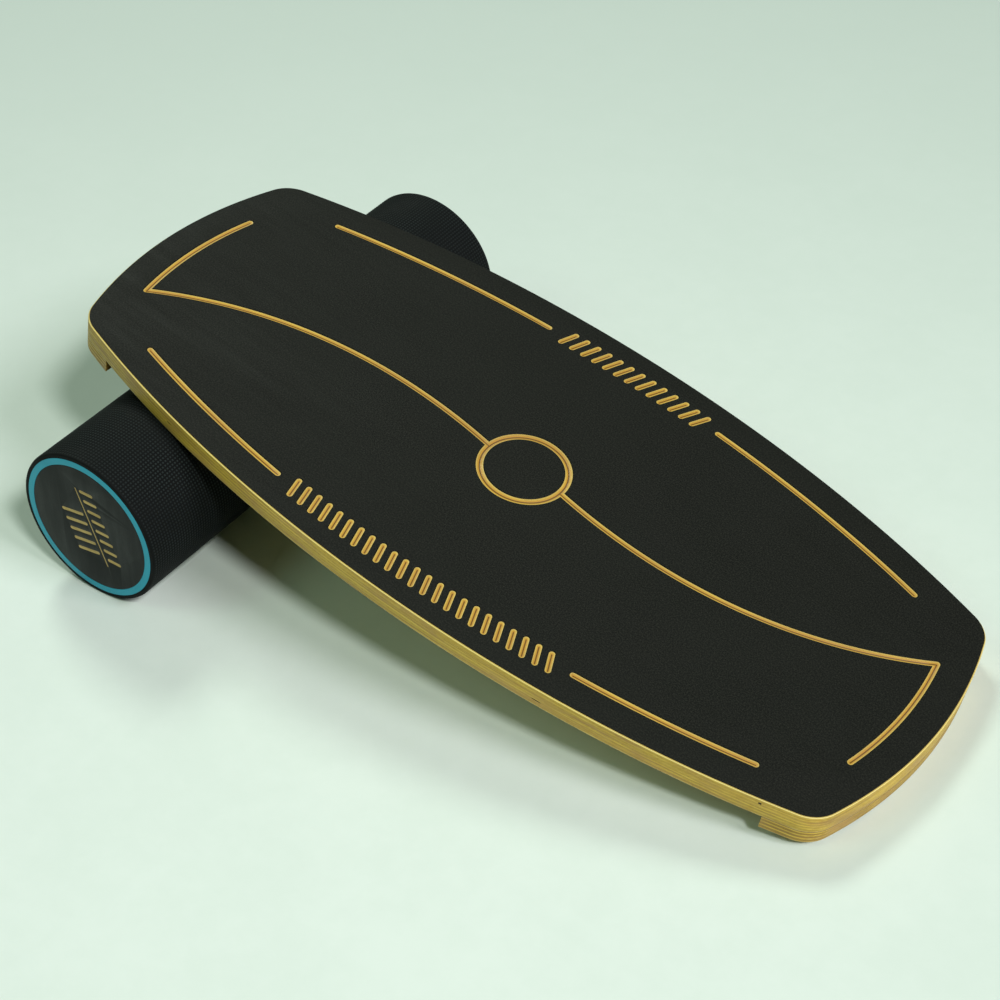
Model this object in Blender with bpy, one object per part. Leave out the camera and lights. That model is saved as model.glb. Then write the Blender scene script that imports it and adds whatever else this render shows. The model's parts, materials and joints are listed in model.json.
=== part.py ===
"""Balance board: a routed plywood deck leaning on a sleeved roller.

World frame: metres, +Z up, floor at z = 0.  The roller axis is parallel to Y
and the deck runs along X, its low end towards +X.
"""

import math

import bmesh
import bpy
import numpy as np
from mathutils import Matrix, Vector

# ---- fits -------------------------------------------------------------------
GAP = 0.0003
CUT_CLEARANCE = 0.001
SHARP_EDGE = math.radians(35.0)

# ---- deck -------------------------------------------------------------------
DECK_HALF_LENGTH = 0.371
DECK_HALF_WIDTH = 0.1735
SIDE_BOW = 0.3915
SIDE_BOW_QUARTIC = 0.3249
END_BOW = 1.520
CORNER_RADIUS = 0.0293
END_STEPS = 9
CORNER_STEPS = 8
SIDE_STEPS = 14
CORE_THICKNESS = 0.0164
FILM_THICKNESS = 0.0005
DECK_CHAMFER = 0.0009
FILM_INSET = 0.001

CORE_TOP = -FILM_THICKNESS - GAP
CORE_BOTTOM = CORE_TOP - CORE_THICKNESS

# ---- end stops and their screws --------------------------------------------
STOP_INNER_FACE = 0.313
STOP_THICKNESS = 0.0115
STOP_CHAMFER = 0.0006
STOP_TOP = CORE_BOTTOM - GAP
STOP_BOTTOM = STOP_TOP - STOP_THICKNESS

SCREW_SIDE_POSITIONS = (-0.105, -0.035, 0.035, 0.105)
SCREW_HEAD_RADIUS = 0.004
SCREW_HEAD_DEPTH = 0.0023
SCREW_SHANK_RADIUS = 0.0019
SCREW_LENGTH = 0.020
SCREW_TIP = 0.003
SCREW_SINK = 0.0005
RECESS_HALF_SPAN = 0.002
RECESS_HALF_WIDTH = 0.00055
RECESS_DEPTH = 0.0014
SCREW_HOLE_EXTRA = 0.001
SCREW_SEGMENTS = 16

# ---- routed pattern ---------------------------------------------------------
GROOVE_HALF_WIDTH = 0.00235
GROOVE_DEPTH = 0.0012
RING_RADIUS = 0.0347
RING_HALF_WIDTH = 0.00285
RING_SEGMENTS = 56
BORDER_INSET = 0.0275
END_LINE_START = 0.066
END_LINE_CORNER = -0.0686
END_LINE_STEPS = 8
SWEEP_OUTER_HANDLE = Vector((-0.2415, 0.0084))
SWEEP_INNER_HANDLE = Vector((-0.1308, 0.0172))
SWEEP_JOIN = Vector((-0.0352, 0.0006))
SWEEP_STEPS = 20
LINE_STEPS = 7
SIDE_LINES = (
    (0.0871, 0.2964, 1),
    (-0.0859, -0.2916, 1),
    (0.1525, 0.2964, -1),
    (-0.1313, -0.2936, -1),
)
TICK_LENGTH = 0.0205
TICK_LEAN = math.radians(20.0)
TICK_RUNS = ((1, -0.0664, 0.0684, 13), (-1, -0.1125, 0.1330, 23))
CAP_STEPS = 4
SHARP_TURN = math.radians(25.0)

# ---- roller -----------------------------------------------------------------
ROLLER_LENGTH = 0.4425
SLEEVE_RADIUS = 0.0666
TUBE_RADIUS = 0.0626
DISC_RADIUS = 0.0567
DISC_THICKNESS = 0.012
SLEEVE_EDGE_RADIUS = 0.0011
SLEEVE_EDGE_STEPS = 3
TUBE_EDGE_CHAMFER = 0.0003
DISC_EDGE_CHAMFER = 0.0004
ROLLER_SEGMENTS = 80

MOTIF_LEAN = math.radians(-72.0)
MOTIF_CENTRE = Vector((0.0033, 0.0017))
MOTIF_LINE_HALF = 0.036
MOTIF_LINE_HALF_WIDTH = 0.0007
MOTIF_BAR_HALF_WIDTH = 0.0016
MOTIF_STEEPNESS = 0.55
MOTIF_BAR_START = 0.0048
MOTIF_SHORT_BARS = (-0.0315, 0.0315, 8, 0.0150)
MOTIF_LONG_BARS = (-0.0135, 0.0225, 5, -0.0245)
MOTIF_SLANT = 0.0035

# ---- how the deck leans -----------------------------------------------------
CONTACT_FROM_MIDDLE = -0.249
DECK_YAW = -0.0401
CROSSING_FROM_ROLLER_MIDDLE = 0.00165
STEEPEST_TILT = math.radians(25.0)
SOLVE_ROUNDS = 60


def clear_scene():
    """Start from an empty file."""
    for item in list(bpy.data.objects):
        bpy.data.objects.remove(item, do_unlink=True)


def material(name, colour, roughness, metallic=0.0):
    """A Principled material."""
    made = bpy.data.materials.new(name)
    made.use_nodes = True
    shader = made.node_tree.nodes["Principled BSDF"]
    shader.inputs["Base Color"].default_value = (*colour, 1.0)
    shader.inputs["Roughness"].default_value = roughness
    shader.inputs["Metallic"].default_value = metallic
    return made


def add_object(name, mesh_builder, parent, finish, smooth=False):
    """Turn a bmesh into a named object under a parent."""
    bmesh.ops.recalc_face_normals(mesh_builder, faces=mesh_builder.faces)
    mesh = bpy.data.meshes.new(name)
    mesh_builder.to_mesh(mesh)
    mesh_builder.free()
    if smooth:
        mesh.shade_smooth()
        mesh.set_sharp_from_angle(angle=SHARP_EDGE)
    if finish:
        mesh.materials.append(finish)
    made = bpy.data.objects.new(name, mesh)
    bpy.context.collection.objects.link(made)
    made.parent = parent
    return made


def add_cutter(name, mesh_builder, parent):
    """A hidden solid used only to cut others."""
    made = add_object(name, mesh_builder, parent, None)
    made.hide_render = True
    made.display_type = "WIRE"
    return made


def cut(target, cutter):
    """Subtract the cutter from the target."""
    step = target.modifiers.new(cutter.name, "BOOLEAN")
    step.operation = "DIFFERENCE"
    step.solver = "EXACT"
    step.object = cutter


def add_rings(builder, rings, closed=False):
    """Skin a stack of equal-length rings; cap the ends unless the stack closes."""
    made = []
    for ring in rings:
        made.append([builder.verts.new(point) for point in ring])
    count = len(made[0])
    pairs = list(zip(made, made[1:]))
    if closed:
        pairs.append((made[-1], made[0]))
    for low, high in pairs:
        for i in range(count):
            j = (i + 1) % count
            builder.faces.new((low[i], low[j], high[j], high[i]))
    if not closed:
        builder.faces.new(list(reversed(made[0])))
        builder.faces.new(made[-1])


def circle(radius, height, segments, centre=(0.0, 0.0)):
    """Points of a level circle."""
    points = []
    for i in range(segments):
        turn = 2.0 * math.pi * i / segments
        x = centre[0] + radius * math.cos(turn)
        y = centre[1] + radius * math.sin(turn)
        points.append((x, y, height))
    return points


def lathe(profile, segments, closed=False, centre=(0.0, 0.0), builder=None):
    """Turn (radius, height) pairs about a line parallel to Z."""
    builder = builder or bmesh.new()
    rings = [circle(radius, height, segments, centre) for radius, height in profile]
    add_rings(builder, rings, closed)
    return builder


# ---- deck outline -----------------------------------------------------------
def side_offset(u):
    """Half width of the deck at u from its middle."""
    return DECK_HALF_WIDTH - SIDE_BOW * u**2 - SIDE_BOW_QUARTIC * u**4


def side_slope(u):
    """Slope of the side curve."""
    return -2.0 * SIDE_BOW * u - 4.0 * SIDE_BOW_QUARTIC * u**3


def end_offset(v):
    """Half length of the deck at v from its centreline."""
    return DECK_HALF_LENGTH - END_BOW * v**2


def side_point(u, inset=0.0):
    """Point on the +v side curve, moved inwards, and its outward normal."""
    normal = Vector((-side_slope(u), 1.0)).normalized()
    return Vector((u, side_offset(u))) - inset * normal, normal


def end_point(v, inset=0.0):
    """Point on the +u end curve, moved inwards, and its outward normal."""
    normal = Vector((1.0, 2.0 * END_BOW * v)).normalized()
    return Vector((end_offset(v), v)) - inset * normal, normal


def corner_contact():
    """Where the corner fillet meets the side (u) and the end (v), by Newton's method."""
    u = DECK_HALF_LENGTH - CORNER_RADIUS
    v = side_offset(DECK_HALF_LENGTH) - CORNER_RADIUS / 2.0
    step = 1e-6
    for _ in range(SOLVE_ROUNDS):
        miss = side_point(u, CORNER_RADIUS)[0] - end_point(v, CORNER_RADIUS)[0]
        by_u = side_point(u + step, CORNER_RADIUS)[0] - side_point(u, CORNER_RADIUS)[0]
        by_v = end_point(v + step, CORNER_RADIUS)[0] - end_point(v, CORNER_RADIUS)[0]
        slope = np.array([[by_u.x, -by_v.x], [by_u.y, -by_v.y]]) / step
        change = np.linalg.solve(slope, np.array([miss.x, miss.y]))
        u -= change[0]
        v -= change[1]
    return u, v


def quarter_outline():
    """(point, normal) pairs from the middle of the +u end to the middle of the +v side."""
    u_corner, v_corner = corner_contact()
    centre, side_normal = side_point(u_corner, CORNER_RADIUS)
    end_normal = end_point(v_corner)[1]
    pairs = [end_point(v_corner * i / END_STEPS) for i in range(END_STEPS)]
    start = math.atan2(end_normal.y, end_normal.x)
    finish = math.atan2(side_normal.y, side_normal.x)
    for i in range(CORNER_STEPS + 1):
        turn = start + (finish - start) * i / CORNER_STEPS
        normal = Vector((math.cos(turn), math.sin(turn)))
        pairs.append((centre + CORNER_RADIUS * normal, normal))
    pairs += [side_point(u_corner * (1.0 - i / SIDE_STEPS)) for i in range(1, SIDE_STEPS + 1)]
    return pairs


def mirrored(pairs, flip):
    """Mirror (point, normal) pairs and reverse their order."""
    return [(point * flip, normal * flip) for point, normal in reversed(pairs)]


def deck_outline():
    """The whole outline, anticlockwise from the middle of the +u end."""
    quarter = quarter_outline()
    half = quarter + mirrored(quarter, Vector((-1.0, 1.0)))[1:]
    return half + mirrored(half, Vector((1.0, -1.0)))[1:-1]


def outline_ring(pairs, inset, height):
    """The outline moved inwards at one height."""
    ring = []
    for point, normal in pairs:
        moved = point - inset * normal
        ring.append((moved.x, moved.y, height))
    return ring


def stop_outline(end):
    """(point, normal) pairs of one end stop; end is +1 or -1 along u."""
    inner = STOP_INNER_FACE
    pairs = [pair for pair in deck_outline() if pair[0].x > inner]
    lower = [pair for pair in pairs if pair[0].y < 0.0]
    upper = [pair for pair in pairs if pair[0].y >= 0.0]
    side, normal = side_point(inner)
    corner_normal = Vector((-1.0, 1.0 + abs(normal.x)))
    near = (side * Vector((1.0, -1.0)), corner_normal * Vector((1.0, -1.0)))
    loop = [near] + lower + upper + [(side, corner_normal)]
    if end < 0:
        loop = [(point * -1.0, normal * -1.0) for point, normal in loop]
    return loop


# ---- routed grooves ---------------------------------------------------------
def left_of(direction):
    """Unit vector to the left of a direction."""
    return Vector((-direction.y, direction.x))


def arc_points(centre, start, turn, radius, ridge):
    """Round cap or join about a ridge point."""
    steps = max(1, round(CAP_STEPS * abs(turn) / math.pi))
    points = []
    for i in range(steps + 1):
        spin = Matrix.Rotation(turn * i / steps, 2)
        points.append((centre + radius * (spin @ start), ridge))
    return points


def one_side(path, directions, half_width, order):
    """Offset points on the left of a path walked in the given order."""
    points = []
    for i in order[1:-1]:
        before, after = directions[i - 1], directions[i]
        if order[0] > order[-1]:
            before, after = -directions[i], -directions[i - 1]
        turn = before.angle_signed(after)
        left = left_of(before)
        if turn > SHARP_TURN:
            points += arc_points(path[i], left, -turn, half_width, i)
        else:
            middle = (left + left_of(after)).normalized()
            reach = half_width / math.cos(turn / 2.0)
            points.append((path[i] + reach * middle, i))
    return points


def groove_loop(path, half_width):
    """Outline round a path with round ends, each point tied to a path index."""
    last = len(path) - 1
    directions = [(b - a).normalized() for a, b in zip(path, path[1:])]
    forward = list(range(last + 1))
    loop = one_side(path, directions, half_width, forward)
    loop += arc_points(path[last], left_of(directions[-1]), -math.pi, half_width, last)
    loop += one_side(path, directions, half_width, forward[::-1])
    loop += arc_points(path[0], left_of(-directions[0]), -math.pi, half_width, 0)
    return loop


def v_cutters(paths, half_width, depth, surface):
    """One closed V-bottomed cutter for each path."""
    builder = bmesh.new()
    top_half_width = half_width * (depth + CUT_CLEARANCE) / depth
    for path in paths:
        loop = groove_loop(path, top_half_width)
        top = [builder.verts.new((p.x, p.y, surface + CUT_CLEARANCE)) for p, _ in loop]
        ridge = [builder.verts.new((p.x, p.y, surface - depth)) for p in path]
        builder.faces.new(top)
        for i, (_, here) in enumerate(loop):
            j = (i + 1) % len(loop)
            there = loop[j][1]
            if here == there:
                builder.faces.new((top[i], top[j], ridge[here]))
            else:
                builder.faces.new((top[i], top[j], ridge[there]))
                builder.faces.new((top[i], ridge[there], ridge[here]))
    return builder


def slot_cutters(paths, half_width, low, high):
    """One closed straight-walled cutter for each path."""
    builder = bmesh.new()
    for path in paths:
        loop = groove_loop(path, half_width)
        rings = [[(p.x, p.y, height) for p, _ in loop] for height in (low, high)]
        add_rings(builder, rings)
    return builder


def border_path(u_start, u_end, side):
    """Line that follows one side of the deck at a constant inset."""
    path = []
    for i in range(LINE_STEPS + 1):
        point = side_point(u_start + (u_end - u_start) * i / LINE_STEPS, BORDER_INSET)[0]
        path.append(Vector((point.x, side * point.y)))
    return path


def sweep_path(end):
    """End line and the long curve from its corner to the middle ring."""
    path = []
    for i in range(END_LINE_STEPS + 1):
        v = END_LINE_START + (END_LINE_CORNER - END_LINE_START) * i / END_LINE_STEPS
        point = end_point(v, BORDER_INSET)[0]
        path.append(Vector((-point.x, point.y)))
    corner = path[-1]
    for i in range(1, SWEEP_STEPS + 1):
        t = i / SWEEP_STEPS
        s = 1.0 - t
        point = s**3 * corner + 3.0 * s * s * t * SWEEP_OUTER_HANDLE
        point += 3.0 * s * t * t * SWEEP_INNER_HANDLE + t**3 * SWEEP_JOIN
        path.append(point)
    return [end * -point for point in path]


def tick_paths():
    """Leaning ticks that follow each side of the deck."""
    paths = []
    half = TICK_LENGTH / 2.0 - GROOVE_HALF_WIDTH
    for side, start, finish, count in TICK_RUNS:
        for i in range(count):
            u = start + (finish - start) * i / (count - 1)
            centre, normal = side_point(u, BORDER_INSET)
            lean = Matrix.Rotation(-TICK_LEAN, 2) @ normal
            ends = (centre - half * lean, centre + half * lean)
            paths.append([Vector((point.x, side * point.y)) for point in ends])
    return paths


def routed_paths():
    """Every routed line except the ring."""
    paths = tick_paths()
    paths += [border_path(*line) for line in SIDE_LINES]
    paths += [sweep_path(end) for end in (1, -1)]
    return paths


# ---- deck pieces ------------------------------------------------------------
def add_deck_core(frame, finish, paths):
    """Plywood plank with V grooves above and screw holes below."""
    pairs = deck_outline()
    builder = bmesh.new()
    add_rings(builder, [
        outline_ring(pairs, DECK_CHAMFER, CORE_BOTTOM),
        outline_ring(pairs, 0.0, CORE_BOTTOM + DECK_CHAMFER),
        outline_ring(pairs, 0.0, CORE_TOP - DECK_CHAMFER),
        outline_ring(pairs, DECK_CHAMFER, CORE_TOP),
    ])
    core = add_object("deck_core", builder, frame, finish)
    lines = v_cutters(paths, GROOVE_HALF_WIDTH, GROOVE_DEPTH, CORE_TOP)
    cut(core, add_cutter("cut_core_lines", lines, frame))
    spread = RING_HALF_WIDTH * (GROOVE_DEPTH + CUT_CLEARANCE) / GROOVE_DEPTH
    profile = [
        (RING_RADIUS, CORE_TOP - GROOVE_DEPTH),
        (RING_RADIUS + spread, CORE_TOP + CUT_CLEARANCE),
        (RING_RADIUS - spread, CORE_TOP + CUT_CLEARANCE),
    ]
    ring = lathe(profile, RING_SEGMENTS, closed=True)
    cut(core, add_cutter("cut_core_ring", ring, frame))
    holes = bmesh.new()
    radius = SCREW_SHANK_RADIUS + GAP
    top = STOP_BOTTOM + SCREW_SINK + SCREW_LENGTH + SCREW_HOLE_EXTRA
    for place in screw_places(1) + screw_places(-1):
        profile = [(radius, CORE_BOTTOM - CUT_CLEARANCE), (radius, top)]
        lathe(profile, SCREW_SEGMENTS, centre=place, builder=holes)
    cut(core, add_cutter("cut_core_holes", holes, frame))


def add_grip_film(frame, finish, paths):
    """Thin film cut through along every routed line."""
    pairs = deck_outline()
    builder = bmesh.new()
    add_rings(builder, [
        outline_ring(pairs, FILM_INSET, -FILM_THICKNESS),
        outline_ring(pairs, FILM_INSET, 0.0),
    ])
    film = add_object("grip_film", builder, frame, finish)
    low = -FILM_THICKNESS - CUT_CLEARANCE
    high = CUT_CLEARANCE
    lines = slot_cutters(paths, GROOVE_HALF_WIDTH, low, high)
    cut(film, add_cutter("cut_film_lines", lines, frame))
    outer = RING_RADIUS + RING_HALF_WIDTH
    hole = lathe([(outer, low - GAP), (outer, high + GAP)], RING_SEGMENTS)
    cut(film, add_cutter("cut_film_ring", hole, frame))
    inner = RING_RADIUS - RING_HALF_WIDTH
    patch = lathe([(inner, -FILM_THICKNESS), (inner, 0.0)], RING_SEGMENTS)
    add_object("grip_film_centre", patch, frame, finish)


def screw_places(end):
    """Screw centres in one end stop."""
    places = []
    for v in SCREW_SIDE_POSITIONS:
        u = (STOP_INNER_FACE + end_offset(v)) / 2.0
        places.append((end * u, v))
    return places


def add_end_stop(name, end, frame, finish):
    """Full-width block under one end, countersunk from below."""
    pairs = stop_outline(end)
    builder = bmesh.new()
    add_rings(builder, [
        outline_ring(pairs, STOP_CHAMFER, STOP_BOTTOM),
        outline_ring(pairs, 0.0, STOP_BOTTOM + STOP_CHAMFER),
        outline_ring(pairs, 0.0, STOP_TOP),
    ])
    stop = add_object(name, builder, frame, finish)
    holes = bmesh.new()
    shank = SCREW_SHANK_RADIUS + GAP
    head = SCREW_HEAD_RADIUS + GAP
    seat = STOP_BOTTOM + SCREW_SINK - GAP
    profile = [
        (head, STOP_BOTTOM - CUT_CLEARANCE),
        (head, seat + GAP),
        (shank, seat + GAP + SCREW_HEAD_DEPTH),
        (shank, STOP_TOP + CUT_CLEARANCE),
    ]
    for place in screw_places(end):
        lathe(profile, SCREW_SEGMENTS, centre=place, builder=holes)
    cut(stop, add_cutter("cut_" + name, holes, frame))


def screw_body():
    """Countersunk screw, head face at z = 0, tip upwards."""
    return lathe([
        (SCREW_HEAD_RADIUS, 0.0),
        (SCREW_HEAD_RADIUS, GAP),
        (SCREW_SHANK_RADIUS, SCREW_HEAD_DEPTH),
        (SCREW_SHANK_RADIUS, SCREW_LENGTH - SCREW_TIP),
        (SCREW_SHANK_RADIUS / 3.0, SCREW_LENGTH),
    ], SCREW_SEGMENTS)


def cross_recess():
    """Cross-shaped driver recess."""
    a, b = RECESS_HALF_WIDTH, RECESS_HALF_SPAN
    arm = [(b, -a), (b, a), (a, a)]
    loop = []
    for i in range(4):
        spin = Matrix.Rotation(i * math.pi / 2.0, 2)
        loop += [spin @ Vector(point) for point in arm]
    builder = bmesh.new()
    heights = (-CUT_CLEARANCE, RECESS_DEPTH)
    add_rings(builder, [[(p.x, p.y, height) for p in loop] for height in heights])
    return builder


def add_screws(name, end, frame, finish):
    """The screws of one end stop."""
    base = STOP_BOTTOM + SCREW_SINK
    for number, place in enumerate(screw_places(end), start=1):
        screw = add_object(f"{name}_{number}", screw_body(), frame, finish, smooth=True)
        screw.location = (*place, base)
        recess = add_cutter(f"cut_{name}_{number}", cross_recess(), frame)
        recess.location = (*place, base)
        cut(screw, recess)


# ---- roller pieces ----------------------------------------------------------
def add_sleeve(frame, finish):
    """Rubber sleeve with rounded rims."""
    half = ROLLER_LENGTH / 2.0
    inner = TUBE_RADIUS + GAP
    profile = [(inner, -half), (inner, half)]
    for side in (1, -1):
        for step in range(SLEEVE_EDGE_STEPS + 1):
            part = step if side < 0 else SLEEVE_EDGE_STEPS - step
            turn = math.pi / 2.0 * part / SLEEVE_EDGE_STEPS
            reach = SLEEVE_EDGE_RADIUS * math.cos(turn)
            rise = SLEEVE_EDGE_RADIUS * math.sin(turn)
            radius = SLEEVE_RADIUS - SLEEVE_EDGE_RADIUS + reach
            profile.append((radius, side * (half - SLEEVE_EDGE_RADIUS + rise)))
    add_object("grip_sleeve", lathe(profile, ROLLER_SEGMENTS, True), frame, finish, True)


def add_tube(frame, finish):
    """Plastic pipe with eased rims."""
    half = ROLLER_LENGTH / 2.0
    ease = TUBE_EDGE_CHAMFER
    inner = DISC_RADIUS + GAP
    profile = [
        (inner, -half),
        (inner, half),
        (TUBE_RADIUS - ease, half),
        (TUBE_RADIUS, half - ease),
        (TUBE_RADIUS, ease - half),
        (TUBE_RADIUS - ease, -half),
    ]
    add_object("roller_tube", lathe(profile, ROLLER_SEGMENTS, True), frame, finish, True)


def motif_bars(start, finish, count, reach):
    """Slanted bars on one side of the motif's line."""
    along = Vector((math.cos(MOTIF_LEAN), math.sin(MOTIF_LEAN)))
    across = left_of(along)
    near = math.copysign(MOTIF_BAR_START, reach)
    slant = math.copysign(MOTIF_SLANT, reach)
    paths = []
    for i in range(count):
        at = start + (finish - start) * i / (count - 1)
        inner = MOTIF_CENTRE + (at - slant / 2.0) * along + near * across
        outer = MOTIF_CENTRE + (at + slant / 2.0) * along + reach * across
        paths.append([inner, outer])
    return paths


def add_end_disc(name, outward, frame, finish):
    """Plug with a routed motif on its outer face; outward is +1 or -1."""
    half = DISC_THICKNESS / 2.0
    ease = DISC_EDGE_CHAMFER
    profile = [
        (DISC_RADIUS - ease, -half),
        (DISC_RADIUS, ease - half),
        (DISC_RADIUS, half - ease),
        (DISC_RADIUS - ease, half),
    ]
    disc = add_object(name, lathe(profile, ROLLER_SEGMENTS), frame, finish)
    bars = motif_bars(*MOTIF_SHORT_BARS) + motif_bars(*MOTIF_LONG_BARS)
    depth = MOTIF_BAR_HALF_WIDTH * MOTIF_STEEPNESS
    cutter = v_cutters(bars, MOTIF_BAR_HALF_WIDTH, depth, half)
    bar_cutter = add_cutter("cut_bars_" + name, cutter, frame)
    along = Vector((math.cos(MOTIF_LEAN), math.sin(MOTIF_LEAN)))
    line = [MOTIF_CENTRE - MOTIF_LINE_HALF * along, MOTIF_CENTRE + MOTIF_LINE_HALF * along]
    depth = MOTIF_LINE_HALF_WIDTH * MOTIF_STEEPNESS
    cutter = v_cutters([line], MOTIF_LINE_HALF_WIDTH, depth, half)
    line_cutter = add_cutter("cut_line_" + name, cutter, frame)
    for item in (disc, bar_cutter, line_cutter):
        item.location = (0.0, 0.0, outward * (ROLLER_LENGTH / 2.0 - half))
        item.rotation_euler = (0.0, 0.0 if outward > 0 else math.pi, 0.0)
    cut(disc, bar_cutter)
    cut(disc, line_cutter)


def add_bulkhead(frame, finish):
    """Plain disc inside the middle of the pipe."""
    half = DISC_THICKNESS / 2.0
    profile = [(DISC_RADIUS, -half), (DISC_RADIUS, half)]
    add_object("centre_bulkhead", lathe(profile, ROLLER_SEGMENTS), frame, finish)


# ---- placing the deck on the roller ----------------------------------------
def deck_matrix(tilt):
    """Deck pose over a roller whose floor line passes through the origin."""
    turn = Matrix.Rotation(tilt, 4, "Y") @ Matrix.Rotation(DECK_YAW, 4, "Z")
    axis_height = STOP_TOP - SLEEVE_RADIUS
    axis_in_deck = Vector((CONTACT_FROM_MIDDLE, 0.0, axis_height))
    axis = Vector((0.0, CROSSING_FROM_ROLLER_MIDDLE, SLEEVE_RADIUS))
    return Matrix.Translation(axis - turn @ axis_in_deck) @ turn


def low_edge(tilt):
    """Height of the lowest point of the low end stop."""
    pose = deck_matrix(tilt)
    points = outline_ring(stop_outline(1), STOP_CHAMFER, STOP_BOTTOM)
    points += outline_ring(stop_outline(1), 0.0, STOP_BOTTOM + STOP_CHAMFER)
    return min((pose @ Vector(point)).z for point in points)


def leaning_tilt():
    """Tilt at which the low end just rests on the floor."""
    level, steep = 0.0, STEEPEST_TILT
    for _ in range(SOLVE_ROUNDS):
        middle = (level + steep) / 2.0
        if low_edge(middle) > 0.0:
            level = middle
        else:
            steep = middle
    return level


def roller_offset(pose):
    """Shift along X that centres the whole board on the origin."""
    points = outline_ring(deck_outline(), 0.0, CORE_TOP - DECK_CHAMFER)
    points += outline_ring(deck_outline(), 0.0, CORE_BOTTOM + DECK_CHAMFER)
    points += outline_ring(stop_outline(1), 0.0, STOP_BOTTOM + STOP_CHAMFER)
    points += outline_ring(stop_outline(-1), 0.0, STOP_BOTTOM + STOP_CHAMFER)
    across = [(pose @ Vector(point)).x for point in points]
    return -(min(across) + max(across)) / 2.0


def add_frame(name, pose):
    """Empty that carries one assembly."""
    made = bpy.data.objects.new(name, None)
    made.matrix_world = pose
    bpy.context.collection.objects.link(made)
    return made


def build():
    """Build the whole balance board."""
    clear_scene()
    plywood = material("birch_plywood", (0.52, 0.345, 0.115), 0.5)
    film = material("grip_film", (0.017, 0.019, 0.016), 0.62)
    rubber = material("sleeve_rubber", (0.010, 0.013, 0.013), 0.7)
    pipe = material("teal_pipe", (0.022, 0.27, 0.36), 0.35)
    disc_face = material("disc_face", (0.016, 0.016, 0.015), 0.55)
    zinc = material("zinc_screw", (0.62, 0.60, 0.55), 0.3, 1.0)

    tilt = leaning_tilt()
    pose = deck_matrix(tilt)
    shift = Vector((roller_offset(pose), 0.0, 0.0))
    deck = add_frame("deck_frame", Matrix.Translation(shift) @ pose)
    centre = shift + Vector((0.0, 0.0, SLEEVE_RADIUS))
    upright = Matrix.Rotation(math.pi / 2.0, 4, "X")
    roller = add_frame("roller_frame", Matrix.Translation(centre) @ upright)

    paths = routed_paths()
    add_deck_core(deck, plywood, paths)
    add_grip_film(deck, film, paths)
    for name, end in (("high", -1), ("low", 1)):
        add_end_stop("end_stop_" + name, end, deck, plywood)
        add_screws("screw_" + name, end, deck, zinc)
    add_tube(roller, pipe)
    add_sleeve(roller, rubber)
    add_end_disc("end_disc_front", 1, roller, disc_face)
    add_end_disc("end_disc_rear", -1, roller, disc_face)
    add_bulkhead(roller, plywood)


build()
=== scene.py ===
import json
import math

import bmesh
import bpy
import numpy as np
from mathutils import Matrix, Vector


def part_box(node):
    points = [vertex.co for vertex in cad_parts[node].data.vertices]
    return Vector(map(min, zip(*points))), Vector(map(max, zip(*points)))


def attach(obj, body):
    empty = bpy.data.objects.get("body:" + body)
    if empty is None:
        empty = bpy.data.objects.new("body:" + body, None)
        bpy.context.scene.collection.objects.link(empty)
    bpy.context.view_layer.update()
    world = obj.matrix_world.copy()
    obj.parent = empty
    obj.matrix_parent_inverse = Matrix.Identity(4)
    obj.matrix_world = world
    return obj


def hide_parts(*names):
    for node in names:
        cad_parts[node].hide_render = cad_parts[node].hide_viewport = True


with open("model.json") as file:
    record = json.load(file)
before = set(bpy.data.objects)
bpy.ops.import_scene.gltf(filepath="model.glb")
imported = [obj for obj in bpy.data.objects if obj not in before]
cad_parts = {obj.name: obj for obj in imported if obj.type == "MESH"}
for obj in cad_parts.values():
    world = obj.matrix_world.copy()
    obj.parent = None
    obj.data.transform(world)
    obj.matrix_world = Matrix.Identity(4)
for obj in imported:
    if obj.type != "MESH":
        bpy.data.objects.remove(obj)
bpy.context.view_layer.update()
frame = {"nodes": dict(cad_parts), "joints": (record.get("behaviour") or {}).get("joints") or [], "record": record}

# Balance board: a routed plywood deck leaning on a sleeved roller.
# Deck pieces are drawn in the deck's own axes: x along it towards the low end,
# y across it, z = 0 on top of the film.  Roller pieces are drawn about z.
# Lengths are in metres.

SHARP_EDGE = math.radians(35.0)
CUT_CLEARANCE = 0.001

# ---- deck -------------------------------------------------------------------
FOOT_STRIDE = Vector((0.4, -0.12))
DECK_HALF_LENGTH = 0.371
DECK_HALF_WIDTH = 0.1735
SIDE_BOW = 0.3915
SIDE_BOW_QUARTIC = 0.3249
END_BOW = 1.520
CORNER_RADIUS = 0.0293
END_STEPS = 18
CORNER_STEPS = 16
SIDE_STEPS = 28
OUTLINE_EASE = 0.00006
CORE_TOP = -0.0008
CORE_BOTTOM = -0.0172
CORE_ROUND = 0.0010
CORE_LOW_ROUND = 0.0003
FILM_INSET = 0.0011
FILM_ROUND = 0.00018
FILM_CHAMFER = 0.0007
FILM_BED = 0.00004
ROUND_STEPS = 4

# ---- end stops and screws ---------------------------------------------------
STOP_INNER_FACE = 0.313
STOP_TOP = -0.01722
STOP_BOTTOM = -0.0290
STOP_ROUND = 0.0007
STOP_TOP_ROUND = 0.00004
SCREW_SIDE_POSITIONS = (-0.105, -0.035, 0.035, 0.105)
SCREW_HEAD_RADIUS = 0.004
SCREW_HEAD_DEPTH = 0.0023
SCREW_SHANK_RADIUS = 0.0019
SCREW_LENGTH = 0.020
SCREW_SINK = 0.0005
SCREW_SEGMENTS = 40
SCREW_FIT = 0.00015
SCREW_HEAD_EDGE = 0.0002
SCREW_TURN = math.radians(37.0)
THREAD_TURNS = 12
THREAD_START = 0.0008
THREAD_PITCH = 0.00115
THREAD_RISE = 0.00055
THREAD_ROOT_SHARE = 0.82
RECESS_HALF_SPAN = 0.002
RECESS_HALF_WIDTH = 0.00055
RECESS_DEPTH = 0.0014
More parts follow.
